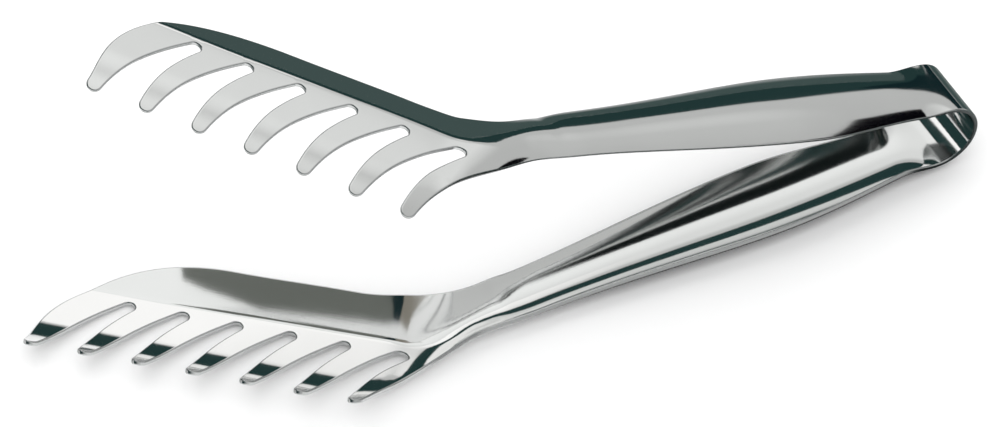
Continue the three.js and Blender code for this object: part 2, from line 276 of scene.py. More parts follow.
def swept_along(along, across):
    sweep_start = NECK_AT - SWEEP_FADE_LENGTH
    sweep_full = LAST_SLOT_AT - TINE_PITCH
    share = ease((along - sweep_start) / (sweep_full - sweep_start))
    return along - sweep(across) * share


def sweep(across):
    depth = np.maximum(-SLOT_LINE_OFFSET - across, 0) / TINE_SWEEP_DEPTH
    return TINE_SWEEP_LENGTH * depth * depth


def formed(blank, outwards):
    """Points of the upper arm, before the tongs are laid down. outwards is from -SHEET/2 to SHEET/2."""
    across = blank[..., 1]
    along = swept_along(np.abs(blank[..., 0]), across)
    _, sideways, outward = guide_directions(along)
    side, drop = section_point(along, across, outwards)
    point = guide_point(along) + sideways * side[..., None] - outward * drop[..., None]
    point[..., 2] = np.where(blank[..., 0] < 0, -point[..., 2], point[..., 2])
    return point


def face_normals(blank):
    """Normals of the outer face, from how the formed point moves along and across the blank."""
    along = formed(blank + [NORMAL_REACH, 0], 0) - formed(blank - [NORMAL_REACH, 0], 0)
    across = formed(blank + [0, NORMAL_REACH], 0) - formed(blank - [0, NORMAL_REACH], 0)
    normal = np.cross(across, along)
    return normal / np.linalg.norm(normal, axis=-1, keepdims=True)


print("crest of the grip:", np.round(formed(np.array([GRIP_AT, 0]), 0), 1))

# %% [markdown]
# ## The blank's outline
# The outline is one long chain: out along the back edge, round the end of the comb, in and out of every
# slot, and home along the front edge. Its points lie close together where the radius is small.

# %% Edges of the strip
STRIP_WIDTHS = [
    (BOW_EDGE_LENGTH, BOW_HALF_WIDTH),
    (PINCH_AT, PINCH_HALF_WIDTH),
    (GRIP_AT, GRIP_HALF_WIDTH),
    (NECK_AT, NECK_HALF_WIDTH),
]
RIM_WIDTHS = STRIP_WIDTHS + [
    (LAST_SLOT_AT + TINE_PITCH, RIM_START_WIDTH),
    (RIM_END_AT, RIM_END_WIDTH),
]
EDGE_STEP = 0.7
ROUND_STEPS = 12


def edge_points(widths, hand, *stations):
    """Points of one edge, spaced evenly from each station to the next."""
    places = [stations[0]]
    for start, end in zip(stations, stations[1:]):
        count = math.ceil(abs(end - start) / EDGE_STEP)
        places.extend(start + (end - start) * np.arange(1, count + 1) / count)
    places = np.array(places)
    return np.stack([places, hand * through(widths, places)], -1)


print("points along half of the bow's edge:", len(edge_points(STRIP_WIDTHS, 1, 0, BOW_END)))

# %% Slots and tines, numbered from the tip of the comb
SIDE_ANGLE = 90.0
slant = math.radians(TINE_SLANT_ANGLE)
TINE_DIRECTION = np.array([math.sin(slant), -math.cos(slant)])
TOWARDS_TIP = np.array([math.cos(slant), math.sin(slant)])


def slot_centre(slot):
    return np.array([LAST_SLOT_AT + (TINE_COUNT - 1 - slot) * TINE_PITCH, -SLOT_LINE_OFFSET])


def tip_centre(tine):
    root = [LAST_SLOT_AT + (TINE_COUNT - 0.5 - tine) * TINE_PITCH, -SLOT_LINE_OFFSET]
    return np.array(root) + TINE_DIRECTION * TINE_LENGTH


def with_sweep(point, hand):
    """A blank point moved along by the sweep of the tines, or back again."""
    return point - [hand, 0] * sweep(point[..., 1:])


def tip_arc(tine, angle):
    """The blank of a tip that is round once it is swept. Its angle is positive towards the comb's tip."""
    centre = tip_centre(tine)
    ahead = with_sweep(centre + TINE_DIRECTION * GUIDE_STEP, 1) - with_sweep(centre, 1)
    ahead = ahead / np.linalg.norm(ahead)
    beside = np.array([-ahead[1], ahead[0]])
    angle = np.radians(angle)[..., None]
    arc = with_sweep(centre, 1) + TINE_TIP_RADIUS * (ahead * np.cos(angle) + beside * np.sin(angle))
    return with_sweep(arc, -1)


def tine_side(tine, hand):
    return tip_arc(tine, np.array(SIDE_ANGLE * hand))


def half_round(centre, radius, facing):
    """The arc from the side of the comb's tip to the side of the neck, through facing."""
    angle = np.linspace(np.pi / 2, -np.pi / 2, ROUND_STEPS + 1)[:, None]
    return centre + radius * (facing * np.cos(angle) + TOWARDS_TIP * np.sin(angle))


def straight(start, end):
    count = math.ceil(np.linalg.norm(end - start) / EDGE_STEP)
    return start + (end - start) * np.linspace(0, 1, count + 1)[:, None]


print("middle of the first tip in the blank:", np.round(tip_centre(1), 1))

# %% The free-form edges that run into the first and the last tine
ROUGH_STEPS = 100


def cubic(controls, shares):
    a, b, c, d = controls
    t = shares[:, None]
    return (1 - t) ** 3 * a + 3 * (1 - t) ** 2 * t * b + 3 * (1 - t) * t * t * c + t**3 * d


def side_direction(tine, hand):
    """The direction in the blank that the side of a tine has where its tip begins."""
    return tip_arc(tine, np.array((SIDE_ANGLE - 1) * hand)) - tine_side(tine, hand)


def free_edge(start, start_direction, end, end_direction, handles):
    """The four controls of a cubic that leaves start and reaches end in the directions given."""
    directions = (start_direction, end_direction)
    reach = [handle * d / np.linalg.norm(d) for handle, d in zip(handles, directions)]
    return start, start + reach[0], end - reach[1], end


def outer_controls():
    before, start = edge_points(RIM_WIDTHS, 1, RIM_END_AT - GUIDE_STEP, RIM_END_AT)
    handles = (OUTER_RIM_HANDLE, OUTER_TIP_HANDLE)
    return free_edge(start, start - before, tine_side(1, 1), side_direction(1, 1), handles)


def front_controls():
    start = np.array([NECK_AT, -NECK_HALF_WIDTH])
    handles = (FRONT_NECK_HANDLE, FRONT_TIP_HANDLE)
    last = TINE_COUNT
    return free_edge(start, np.array([1, 0]), tine_side(last, -1), side_direction(last, -1), handles)


def free_points(controls, root_share):
    """Points along a free edge, and how many of them come before the tine begins."""
    share = root_share + SLOT_END_SHARE
    rough = cubic(controls, np.linspace(0, 1, ROUGH_STEPS))
    length = np.linalg.norm(np.diff(rough, axis=0), axis=1).sum()
    root_count, tine_count = (math.ceil(length * part / EDGE_STEP) for part in (share, 1 - share))
    root_shares = np.linspace(0, share, root_count)
    tine_shares = np.linspace(share, 1, tine_count + 1)[1:]
    return cubic(controls, np.concatenate([root_shares, tine_shares])), root_count


outer_edge = outer_controls()
front_edge = front_controls()
print("free-form edges start at", np.round(outer_edge[0], 1), "and", np.round(front_edge[0], 1))

# %% The whole chain, with the places where one piece ends and the next begins
chain = []
cuts = {}


def add_to_chain(points, start_cut=None, end_cut=None):
    """Points after the chain's last one, with a name for the first or the last if a cut begins there."""
    skipped = 1 if chain else 0
    if start_cut:
        cuts[start_cut] = len(chain) - skipped
    chain.extend(points[skipped:])
    if end_cut:
        cuts[end_cut] = len(chain) - 1


add_to_chain(edge_points(RIM_WIDTHS, 1, 0, BOW_END), "middle_back", "bow_back")
add_to_chain(edge_points(RIM_WIDTHS, 1, BOW_END, HANDLE_END), None, "handle_back")
add_to_chain(edge_points(RIM_WIDTHS, 1, HANDLE_END, NECK_AT), None, "neck_back")
add_to_chain(edge_points(RIM_WIDTHS, 1, NECK_AT, outer_edge[0][0]))
outer_points, root_count = free_points(outer_edge, OUTER_ROOT_SHARE)
add_to_chain(outer_points[:root_count], None, "tine_1_far")
add_to_chain(outer_points[root_count - 1 :])
for tine in range(1, TINE_COUNT + 1):
    add_to_chain(tip_arc(tine, np.linspace(SIDE_ANGLE, -SIDE_ANGLE, ROUND_STEPS + 1)))
    if tine < TINE_COUNT:
        slot_end = half_round(slot_centre(tine), SLOT_END_RADIUS, -TINE_DIRECTION)
        add_to_chain(straight(tine_side(tine, -1), slot_end[0]), None, f"tine_{tine}_near")
        add_to_chain(slot_end, None, f"tine_{tine + 1}_far")
        add_to_chain(straight(slot_end[-1], tine_side(tine + 1, 1)))
front_points, root_count = free_points(front_edge, FRONT_ROOT_SHARE)
add_to_chain(front_points[root_count - 1 :][::-1], None, f"tine_{TINE_COUNT}_near")
add_to_chain(front_points[:root_count][::-1], None, "neck_front")
add_to_chain(edge_points(STRIP_WIDTHS, -1, NECK_AT, HANDLE_END), None, "handle_front")
add_to_chain(edge_points(STRIP_WIDTHS, -1, HANDLE_END, BOW_END), None, "bow_front")
add_to_chain(edge_points(STRIP_WIDTHS, -1, BOW_END, 0), None, "middle_front")
chain = np.array(chain)
print("outline:", len(chain), "points")

# %% [markdown]
# ## Rounded edges
# A stamped edge is tumbled until it no longer cuts, so it ends in a small round on each face. The chain
# is moved in by that radius to bound the two faces, and a narrow band of quads goes round from the
# outer face to the inner one. Without it the edge would have none of the bright line that real sheet has.

# %% The band round the cut edge
EDGE_ROUND = 0.3
ROUND_ANGLES = np.radians([0, 30, 60, 90])
band_insets = EDGE_ROUND * (1 - np.sin(ROUND_ANGLES))
band_heights = SHEET / 2 - EDGE_ROUND * (1 - np.cos(ROUND_ANGLES))
BAND = list(zip(band_insets, band_heights, ROUND_ANGLES))
BAND += [(inset, -height, math.pi - angle) for inset, height, angle in reversed(BAND)]

chain_tangents = np.gradient(chain, axis=0)
chain_tangents /= np.linalg.norm(chain_tangents, axis=1, keepdims=True)
chain_inwards = np.stack([chain_tangents[:, 1], -chain_tangents[:, 0]], -1)
ring = chain + chain_inwards * EDGE_ROUND
print("edge band:", len(BAND) - 1, "strips of quads")

# %% [markdown]
# ## Triangles between the edges
# The faces are filled with evenly staggered points, joined by a constrained Delaunay triangulation. The
# lines where one piece ends and the next begins go in as constraints, so that neighbours share them
# point for point and no seam shows.

# %% Points inside the outline
FACE_STEP = 0.9
GRID_CLEARANCE = 0.6
BLOCK_SIZE = 500
CUT_LINES = [(f"{name}_back", f"{name}_front") for name in ("middle", "bow", "handle", "neck")]
CUT_LINES += [(f"tine_{tine}_near", f"tine_{tine}_far") for tine in range(1, TINE_COUNT + 1)]


def near_any(points, others, distance):
    """Whether each point lies closer than distance to one of the others."""
    found = np.zeros(len(points), bool)
    for start in range(0, len(points), BLOCK_SIZE):
        block = points[start : start + BLOCK_SIZE]
        gaps = np.linalg.norm(block[:, None] - others[None], axis=-1)
        found[start : start + BLOCK_SIZE] = gaps.min(axis=1) < distance
    return found


def points_between(start, end):
    count = math.ceil(np.linalg.norm(end - start) / FACE_STEP)
    return start + (end - start) * np.linspace(0, 1, count + 1)[1:-1, None]


flat_points = list(ring)
constraints = [(i, i + 1) for i in range(len(ring) - 1)]
line_from = {}
for start, end in CUT_LINES:
    inner = points_between(ring[cuts[start]], ring[cuts[end]])
    inner_places = range(len(flat_points), len(flat_points) + len(inner))
    line_from[start] = [cuts[start], *inner_places, cuts[end]]
    flat_points.extend(inner)
    constraints.extend(zip(line_from[start], line_from[start][1:]))

low, high = ring.min(axis=0), ring.max(axis=0)
row_step = FACE_STEP * math.sqrt(3) / 2
rows = np.arange(low[1], high[1], row_step)
columns = np.arange(low[0], high[0], FACE_STEP)
grid_along = columns[None] + (np.arange(len(rows)) % 2)[:, None] * FACE_STEP / 2
grid = np.stack([grid_along, np.broadcast_to(rows[:, None], grid_along.shape)], -1).reshape(-1, 2)
grid = grid[~near_any(grid, np.array(flat_points), FACE_STEP * GRID_CLEARANCE)]
flat_points.extend(grid)
print("points to join:", len(flat_points))

# %% The triangulation
ONLY_INSIDE = 1
MERGE_DISTANCE = 1e-6
loop = [*range(len(ring)), *line_from["middle_back"][-2:0:-1]]
corners_in = [Vector(point) for point in flat_points]
made = delaunay_2d_cdt(corners_in, constraints, [loop], ONLY_INSIDE, MERGE_DISTANCE)
corners_out, _, faces_out, made_from, _, _ = made
blank_points = np.array([tuple(point) for point in corners_out])
index_of = {old: new for new, olds in enumerate(made_from) for old in olds}
triangles = np.array([face for face in faces_out if len(face) == 3])
print("triangles on one face of one arm:", len(triangles))

# %% [markdown]
# ## From the strip to its pieces
# Each arm is one mesh at heart. It is shared out among the same pieces as the solids: half of the bow,
# the handle, the neck, the comb and seven tines. Every piece gets its two faces, its part of the
# band, and a flat cut where its neighbour begins, so that each one is a closed body of its own.

# %% Which piece a triangle belongs to
TINES = [f"tine_{tine}" for tine in range(1, TINE_COUNT + 1)]


def cross_2d(a, b):
    return a[..., 0] * b[..., 1] - a[..., 1] * b[..., 0]


def piece_of(points):
    """The name of the piece that each blank point belongs to."""
    along = points[:, 0]
    before_end = [along < BOW_END, along < HANDLE_END, along < NECK_AT]
    found = np.select(before_end, ["bow", "handle", "neck"], "comb").astype("<U8")
    tip_places = np.array([tip_centre(tine) @ TOWARDS_TIP for tine in range(1, TINE_COUNT + 1)])
    nearest = np.abs((points @ TOWARDS_TIP)[:, None] - tip_places).argmin(axis=1)
    for k, name in enumerate(TINES):
        near, far = ring[cuts[f"{name}_near"]], ring[cuts[f"{name}_far"]]
        side = cross_2d(far - near, points - near) * cross_2d(far - near, TINE_DIRECTION)
        found[(found == "comb") & (nearest == k) & (side > 0)] = name
    return found


triangle_piece = piece_of(blank_points[triangles].mean(axis=1))
band_piece = piece_of((ring[1:] + ring[:-1]) / 2)
PIECES = ["bow", "handle", "neck", "comb"] + TINES
print({name: int((triangle_piece == name).sum()) for name in PIECES})

# %% Points and normals of the upper arm
band_rows = range(1, len(BAND) - 1)
blank_normals = face_normals(blank_points)
chain_normals = face_normals(chain)
inwards = chain_inwards * EDGE_ROUND
chain_edge = formed(chain - inwards, 0) - formed(chain + inwards, 0)
chain_edge -= chain_normals * (chain_edge * chain_normals).sum(axis=1, keepdims=True)
chain_edge /= np.linalg.norm(chain_edge, axis=1, keepdims=True)

FACE_HEIGHTS = (SHEET / 2, -SHEET / 2)
arm_points = [formed(blank_points, height) for height in FACE_HEIGHTS]
arm_normals = [blank_normals, -blank_normals]
arm_blank = [np.insert(blank_points, 2, height, axis=1) for height in FACE_HEIGHTS]
for row in band_rows:
    inset, height, angle = BAND[row]
    moved = chain + chain_inwards * inset
    arm_points.append(formed(moved, height))
    arm_normals.append(chain_normals * math.cos(angle) + chain_edge * math.sin(angle))
    arm_blank.append(np.insert(moved, 2, height, axis=1))
arm_points = np.vstack(arm_points)
arm_normals = np.vstack(arm_normals)
arm_blank = np.vstack(arm_blank)
on_edge = np.arange(len(arm_points)) >= 2 * len(blank_points)
print("arm:", len(arm_points), "points, of which", on_edge.sum(), "are on the cut edge")


# %% Faces of one piece
def band_index(place, row):
    """The vertex on one row of the band, whose first and last rows lie on the two faces."""
    if row == 0:
        return index_of[place]
    if row == len(BAND) - 1:
        return len(blank_points) + index_of[place]
    return 2 * len(blank_points) + (row - 1) * len(chain) + place


def piece_faces(name):
    """Skin faces, and the cut faces that close the piece towards its neighbours."""
    own = triangles[triangle_piece == name]
    skin = [tuple(face[::-1]) for face in own]
    skin += [tuple(face + len(blank_points)) for face in own]
    spans = np.flatnonzero(band_piece == name)
    for place in spans:
        for row in range(len(BAND) - 1):
            corners = [(place + 1, row), (place, row), (place, row + 1), (place + 1, row + 1)]
            skin.append(tuple(band_index(*corner) for corner in corners))
    cut = []
    rows = range(len(BAND))
    for place in spans:
        if place == 0 or band_piece[place - 1] != name:
            cut.append(tuple(band_index(place, row) for row in reversed(rows)))
        if place == len(band_piece) - 1 or band_piece[place + 1] != name:
            cut.append(tuple(band_index(place + 1, row) for row in rows))
    directed = {(face[k - 1], face[k]) for face in own[:, ::-1].tolist() for k in range(3)}
    free = {(index_of[place], index_of[place + 1]) for place in spans.tolist()}
    for start, end in sorted(directed):
        if (end, start) not in directed and (start, end) not in free:
            cut.append((end, start, start + len(blank_points), end + len(blank_points)))
    return skin, cut


faces_of = {name: piece_faces(name) for name in PIECES}
print("faces that close the comb's cuts:", len(faces_of["comb"][1]))

# %% [markdown]
# ## Laying the tongs down
# The strip is formed about the centre of its bow, with the two arms as mirror images. The frame says
# where that centre lies and how far the tongs lean when they rest on the lower arm: the two flats beside
# the bow are mounts, and the line halfway between their normals is the tongs' own long axis.

# %% The tongs' own axes in the frame
lands = {mount["name"]: Vector(mount["axis"]) for mount in frame["record"]["mounts"]}
long_axis = (lands["upper_bow_land"] + lands["lower_bow_land"]).normalized()
bow_centre = Vector(frame["joints"][0]["pos_m"])
lean_angle = math.atan2(-long_axis.z, long_axis.x)
lean = Matrix.Rotation(lean_angle, 3, "Y")
MM = 0.001
print(f"lean: {math.degrees(lean_angle):.2f} degrees")


def laid_down(points, lower):
    """Points or directions of one arm, turned into the frame's axes but not moved."""
    turned = points * [1, 1, -1] if lower else points
    return turned @ np.array(lean).T


# %% One visible piece
def make_piece(name, side):
    """A closed mesh with smooth normals, and the blank coordinates as an attribute for its material."""
    lower = side == "lower"
    hand = -1 if lower else 1
    skin, cut = faces_of[name]
    faces = skin + cut
    if lower:
        faces = [face[::-1] for face in faces]
    used = sorted({index for face in faces for index in face})
    place_of = {index: k for k, index in enumerate(used)}
    points = laid_down(arm_points[used], lower) * MM + np.array(bow_centre)
    normals = laid_down(arm_normals[used], lower)
    mesh = bpy.data.meshes.new(f"{side}_{name}_sheet")
    mesh.from_pydata(points.tolist(), [], [[place_of[index] for index in face] for face in faces])
    mesh.polygons.foreach_set("use_smooth", [True] * len(skin) + [False] * len(cut))
    corner_normals = []
    for polygon in mesh.polygons:
        is_skin = polygon.index < len(skin)
        corner_normals += [normals[v] if is_skin else polygon.normal for v in polygon.vertices]
    mesh.normals_split_custom_set(corner_normals)
    blank = mesh.attributes.new("blank", "FLOAT_VECTOR", "POINT")
    blank.data.foreach_set("vector", (arm_blank[used] * [hand, 1, 1]).ravel())
    edge = mesh.attributes.new("cut_edge", "FLOAT", "POINT")
    edge.data.foreach_set("value", on_edge[used].astype(float))
    piece = bpy.data.objects.new(f"{side}_{name}_sheet", mesh)
    bpy.context.scene.collection.objects.link(piece)
    return piece


# %% All pieces, each in the place of its solid
arm_root = formed(np.array([BOW_END, 0]), 0)
pieces = []
for side in ("upper", "lower"):
    for name in PIECES:
        piece = make_piece(name, side)
        pieces.append(piece)
        if name == "bow":
            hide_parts("spring_bow")
            arm_start = Vector(laid_down(arm_root, side == "lower")) * MM + bow_centre
            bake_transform(piece)
        else:
            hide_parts(f"{side}_{name}")
            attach(piece, f"{side}_arm")
print("pieces:", len(pieces), "with", sum(len(p.data.polygons) for p in pieces), "faces")

# %% [markdown]
# ## Shader maths as Python
# A material is a sum over places: a little rougher here, a fine line there. The small class below wraps
# the output of a node, so that such a sum can be written as Python and reads like one.


# %% A socket that can be calculated with
class Value:
    def __init__(self, tree, socket):
        self.tree = tree
        self.socket = socket

    def calculated(self, operation, *operands):
        node = self.tree.nodes.new("ShaderNodeMath")
        node.operation = operation
        for place, operand in zip(node.inputs, operands):
            if isinstance(operand, Value):
                self.tree.links.new(operand.socket, place)
            else:
                place.default_value = operand
        return Value(self.tree, node.outputs[0])

    def __add__(self, other):
        return self.calculated("ADD", self, other)

    def __sub__(self, other):
        return self.calculated("SUBTRACT", self, other)

    def __rsub__(self, other):
        return self.calculated("SUBTRACT", other, self)

    def __mul__(self, other):
        return self.calculated("MULTIPLY", self, other)

    __radd__ = __add__
    __rmul__ = __mul__


# %% A material that is being made
class Finish:
    def __init__(self, name):
        self.data = bpy.data.materials.new(name)
        self.data.use_nodes = True
        self.tree = self.data.node_tree
        self.shader = self.tree.nodes["Principled BSDF"]

    def node(self, kind, settings, inputs, output=0):
        """One node: its settings come first, then the values or links of its sockets."""
        node = self.tree.nodes.new(kind)
        for name, setting in settings.items():
            setattr(node, name, setting)
        for name, given in inputs.items():
            self.feed(node, name, given)
        return Value(self.tree, node.outputs[output])

    def feed(self, node, name, given):
        if isinstance(given, Value):
            self.tree.links.new(given.socket, node.inputs[name])
        else:
            node.inputs[name].default_value = given

    def attribute(self, name, output="Color"):
        return self.node("ShaderNodeAttribute", {"attribute_name": name}, {}, output)

    def noise(self, places, scale, detail):
        return self.node("ShaderNodeTexNoise", {}, {"Vector": places, "Scale": scale, "Detail": detail})

    def stretched(self, places, factors):
        return self.node("ShaderNodeVectorMath", {"operation": "MULTIPLY"}, {0: places, 1: factors})

    def mixed(self, share, first, second):
        inputs = {0: share, 6: first, 7: second}
        return self.node("ShaderNodeMix", {"data_type": "RGBA"}, inputs, 2)


# %% [markdown]
# ## Polished stainless steel
# The strip was polished before it was cut, along its length, and the press left it a little uneven. So
# its colour hardly changes, and the finish lives in the roughness: fine lines along the strip, a soft
# cloud of handling, and duller sheared edges. All of it is drawn in blank coordinates, which bend with
# the sheet, as the real lines do.

# %% The steel of the faces and the cut edge
STEEL_COLOUR = (0.80, 0.805, 0.80, 1.0)
CLOUDED_COLOUR = (0.76, 0.765, 0.76, 1.0)
EDGE_COLOUR = (0.62, 0.63, 0.63, 1.0)
POLISHED_ROUGHNESS = 0.045
LINES_ROUGHNESS = 0.035
CLOUD_ROUGHNESS = 0.03
CUT_ROUGHNESS = 0.17
LINES_STRETCH = (0.05, 9.0, 9.0)
LINES_SCALE = 1.0
LINES_DETAIL = 3.0
LINES_HEIGHT = 0.0000016
CLOUD_SCALE = 0.09
CLOUD_DETAIL = 4.0
WAVE_SCALE = 0.035
WAVE_DETAIL = 1.0
WAVE_HEIGHT = 0.00012


def make_steel():
    """Colour, roughness and a slight waviness, all placed by the blank's coordinates."""
    steel = Finish("polished_steel_finish")
    blank = steel.attribute("blank", "Vector")
    cut = steel.attribute("cut_edge", "Fac")
    lines = steel.noise(steel.stretched(blank, LINES_STRETCH), LINES_SCALE, LINES_DETAIL)
    cloud = steel.noise(blank, CLOUD_SCALE, CLOUD_DETAIL)
    wave = steel.noise(blank, WAVE_SCALE, WAVE_DETAIL)
    face_colour = steel.mixed(cloud, STEEL_COLOUR, CLOUDED_COLOUR)
    face_roughness = POLISHED_ROUGHNESS + lines * LINES_ROUGHNESS + cloud * CLOUD_ROUGHNESS
    height = wave * WAVE_HEIGHT + lines * LINES_HEIGHT
    bump = steel.node("ShaderNodeBump", {}, {"Strength": 1.0, "Distance": 1.0, "Height": height})
    steel.feed(steel.shader, "Base Color", steel.mixed(cut, face_colour, EDGE_COLOUR))
    steel.feed(steel.shader, "Roughness", face_roughness + cut * CUT_ROUGHNESS)
    steel.feed(steel.shader, "Normal", bump)
    steel.feed(steel.shader, "Metallic", 1.0)
    return steel.data


polished_steel = make_steel()
for piece in pieces:
    piece.data.materials.append(polished_steel)
print("steel on", len(pieces), "pieces")

# %% [markdown]
# ## The camera
# The photograph was taken from far away with a long lens, in front of the tongs and above them, and
# turned a little. The view is given in the tongs' own axes and then laid down with them.

# %% The photograph's view
VIEW_AZIMUTH = -41.5
VIEW_ELEVATION = 41.52
VIEW_ROLL = 15.96
VIEW_DISTANCE = 2000.0
VIEW_WIDTH = 202.0
VIEW_CENTRE_RIGHT = -85.85
VIEW_CENTRE_UP = -19.53
VIEW_REACH = 100.0


def make_camera():
    azimuth, elevation, roll = (math.radians(a) for a in (VIEW_AZIMUTH, VIEW_ELEVATION, VIEW_ROLL))
    level = math.cos(elevation)
    back = Vector((math.sin(azimuth) * level, -math.cos(azimuth) * level, math.sin(elevation)))
    level_right = Vector((0, 0, 1)).cross(back).normalized()
    level_up = back.cross(level_right)
    right = level_right * math.cos(roll) + level_up * math.sin(roll)
    up = back.cross(right)
    place = right * VIEW_CENTRE_RIGHT + up * VIEW_CENTRE_UP + back * VIEW_DISTANCE
    axes = Matrix((lean @ right, lean @ up, lean @ back)).transposed()
    camera = bpy.data.objects.new("camera", bpy.data.cameras.new("camera"))
    camera.matrix_world = Matrix.Translation(lean @ place * MM + bow_centre) @ axes.to_4x4()
    camera.data.lens = camera.data.sensor_width * VIEW_DISTANCE / VIEW_WIDTH
    camera.data.clip_end = VIEW_REACH
    bpy.context.scene.collection.objects.link(camera)
    bpy.context.scene.camera = camera
    return camera


camera = make_camera()
print(f"camera: {camera.data.lens:.0f} mm lens, {VIEW_DISTANCE * MM:.1f} m away")

# %% [markdown]
# ## Light
# Polished steel has no look of its own: it shows the room. So the room is built as a photographer
# builds it. A white world gives soft light from all sides and shows behind the tongs, and a wide lamp
# overhead adds a soft shadow on the floor.

# %% The floor
FLOOR_RADIUS = 6.0
DISC_VERTICES = 96
FLOOR_COLOUR = (0.97, 0.97, 0.97, 1.0)
FLOOR_ROUGHNESS = 0.9


def add_disc(name, radius, place):
    bpy.ops.mesh.primitive_circle_add(vertices=DISC_VERTICES, radius=radius, fill_type="NGON")
    disc = bpy.context.object
    disc.name = name
    disc.location = place
    return disc


def make_floor():
    floor = add_disc("floor", FLOOR_RADIUS, (0, 0, 0))
    finish = Finish("floor_white")
    finish.feed(finish.shader, "Base Color", FLOOR_COLOUR)
    finish.feed(finish.shader, "Roughness", FLOOR_ROUGHNESS)
    floor.data.materials.append(finish.data)


make_floor()
print(f"floor: {2 * FLOOR_RADIUS:.0f} m across")

# %% The world and the lamp
WHITE = (1.0, 1.0, 1.0, 1.0)
LAMP_SIZE = 3.0
LAMP_HEIGHT = 1.6
LAMP_POWER = 10.0


def make_world():
    world = bpy.data.worlds.new("studio")
    world.use_nodes = True
    world.node_tree.nodes["Background"].inputs["Color"].default_value = WHITE
    bpy.context.scene.world = world


def make_lamp():
    """A round softbox that lights the floor, and that the steel doesn't show."""
    lamp = bpy.data.objects.new("softbox", bpy.data.lights.new("softbox", "AREA"))
    lamp.data.shape = "DISK"
    lamp.data.size = LAMP_SIZE
    lamp.data.energy = LAMP_POWER
    lamp.location = (0, 0, LAMP_HEIGHT)
    lamp.visible_glossy = False
    bpy.context.scene.collection.objects.link(lamp)


make_world()
make_lamp()
print(f"softbox: {LAMP_SIZE} m across, {LAMP_HEIGHT} m up")

# %% [markdown]
# ## What the steel mirrors
# A mirror is painted with what stands around it. Round the tongs hangs a pale tent. It is open towards a
# dark green studio, and that opening draws the long dark lines that make steel look like steel. The
# table darkens beyond a sheet of white paper. All of it glows by itself and only the steel sees it, so
# the floor and its shadow stay as they are.

# %% The tent: brightness and lower edge, by elevation or azimuth in degrees
BLACK = (0.0, 0.0, 0.0, 1.0)
STUDIO_DARK = (0.018, 0.044, 0.043)
CLOTH = (1.0, 1.01, 1.0)
CLOTH_LOW = 0.56
CLOTH_RISE = [(30, 0.02), (36, 0.28), (46, 0.30), (56, 0.42), (76, 0.56)]
CLOTH_SIDE = [(-180, 0), (-60, 0), (0, 0.2), (30, 1), (180, 1)]
SKY_FROM = 66.0
TENT_RADIUS = 1.5
TENT_LOW = -8.0
TENT_TOP = 80.0
TENT_STEP = 2.0
TENT_ROWS = 200
EDGE_SOFTNESS = 0.35
EDGE_BEHIND = [(-180, 66), (-90, 66), (-80, 0), (30, 0)]
EDGE_BESIDE = [(34, 22), (60, 25), (68, 28), (90, 28), (95, 62), (180, 66)]
TENT_EDGES = EDGE_BEHIND + EDGE_BESIDE


def seen_by_steel_only(piece):
    """Reflected in the steel, and otherwise out of sight and out of the light's way."""
    piece.visible_camera = False
    piece.visible_diffuse = False
    piece.visible_shadow = False
    piece.visible_transmission = False


def glowing(name):
    """A material that gives light and mirrors nothing. Its Emission Color is fed afterwards."""
    finish = Finish(name)
    finish.feed(finish.shader, "Base Color", BLACK)
    finish.feed(finish.shader, "Specular IOR Level", 0.0)
    finish.feed(finish.shader, "Emission Strength", 1.0)
    return finish


def tent_colours(azimuth, elevation):
    """The cloth above the tent's edge, which pales towards the white sky, and the studio below it."""
    edge, rise, side = (
        np.interp(at, *zip(*stations))
        for at, stations in ((azimuth, TENT_EDGES), (elevation, CLOTH_RISE), (azimuth, CLOTH_SIDE))
    )
    above_edge = ease((elevation - edge) / EDGE_SOFTNESS + 0.5)[:, None]
    tone = CLOTH_LOW + rise * side
    tone = tone + (1 - tone) * ease((elevation - SKY_FROM) / (TENT_TOP - SKY_FROM))
    cloth = np.array(CLOTH) * tone[:, None]
    return STUDIO_DARK + (cloth - STUDIO_DARK) * above_edge


def add_cloth(name, points, faces, colours):
    """A mesh that glows in a colour given for each of its points."""
    mesh = bpy.data.meshes.new(name)
    mesh.from_pydata(points, [], faces)
    attribute = mesh.attributes.new("cloth", "FLOAT_COLOR", "POINT")
    attribute.data.foreach_set("color", np.insert(np.array(colours, float), 3, 1, axis=1).ravel())
    cloth = bpy.data.objects.new(name, mesh)
    bpy.context.scene.collection.objects.link(cloth)
    cloth.data.materials.append(cloth_finish.data)
    seen_by_steel_only(cloth)
    return cloth


def make_tent():
    azimuth = np.arange(-180, 180 + TENT_STEP, TENT_STEP)
    elevation = np.linspace(TENT_LOW, TENT_TOP, TENT_ROWS + 1)
    a, e = (grid.ravel() for grid in np.meshgrid(azimuth, elevation))
    around, up = np.radians(a), np.radians(e)
    directions = np.stack([np.cos(up) * np.cos(around), np.cos(up) * np.sin(around), np.sin(up)], -1)
    corner = np.arange(len(directions)).reshape(-1, len(azimuth))
    quads = (corner[:-1, :-1], corner[:-1, 1:], corner[1:, 1:], corner[1:, :-1])
    faces = np.stack(quads, -1).reshape(-1, 4).tolist()
    return add_cloth("tent", (directions * TENT_RADIUS).tolist(), faces, tent_colours(a, e))


cloth_finish = glowing("tent_cloth")
cloth_finish.feed(cloth_finish.shader, "Emission Color", cloth_finish.attribute("cloth"))
tent = make_tent()
print(f"tent: {len(tent.data.polygons)} faces, {TENT_RADIUS} m from the tongs")

# %% The table beyond the paper, and a dark disc of painted shade under the grip
TABLE_COLOUR = (0.06, 0.092, 0.088, 1.0)
TABLE_RADIUS = 1.5
PAPER_CENTRE = (-0.06, -0.04)
PAPER_FADES = (0.06, 0.215)
# Painted shade: a dark glowing disc, seen only in the steel, that stands for the floor's shadow under the
# grip
PAINTED_SHADE_COLOUR = (0.006, 0.009, 0.009, 1.0)
SHADE_RADIUS = 0.08
SHADE_CENTRE = (0.055, -0.033)
SHADE_FADES = (0.075, 0.03)
LIFT = 0.0004


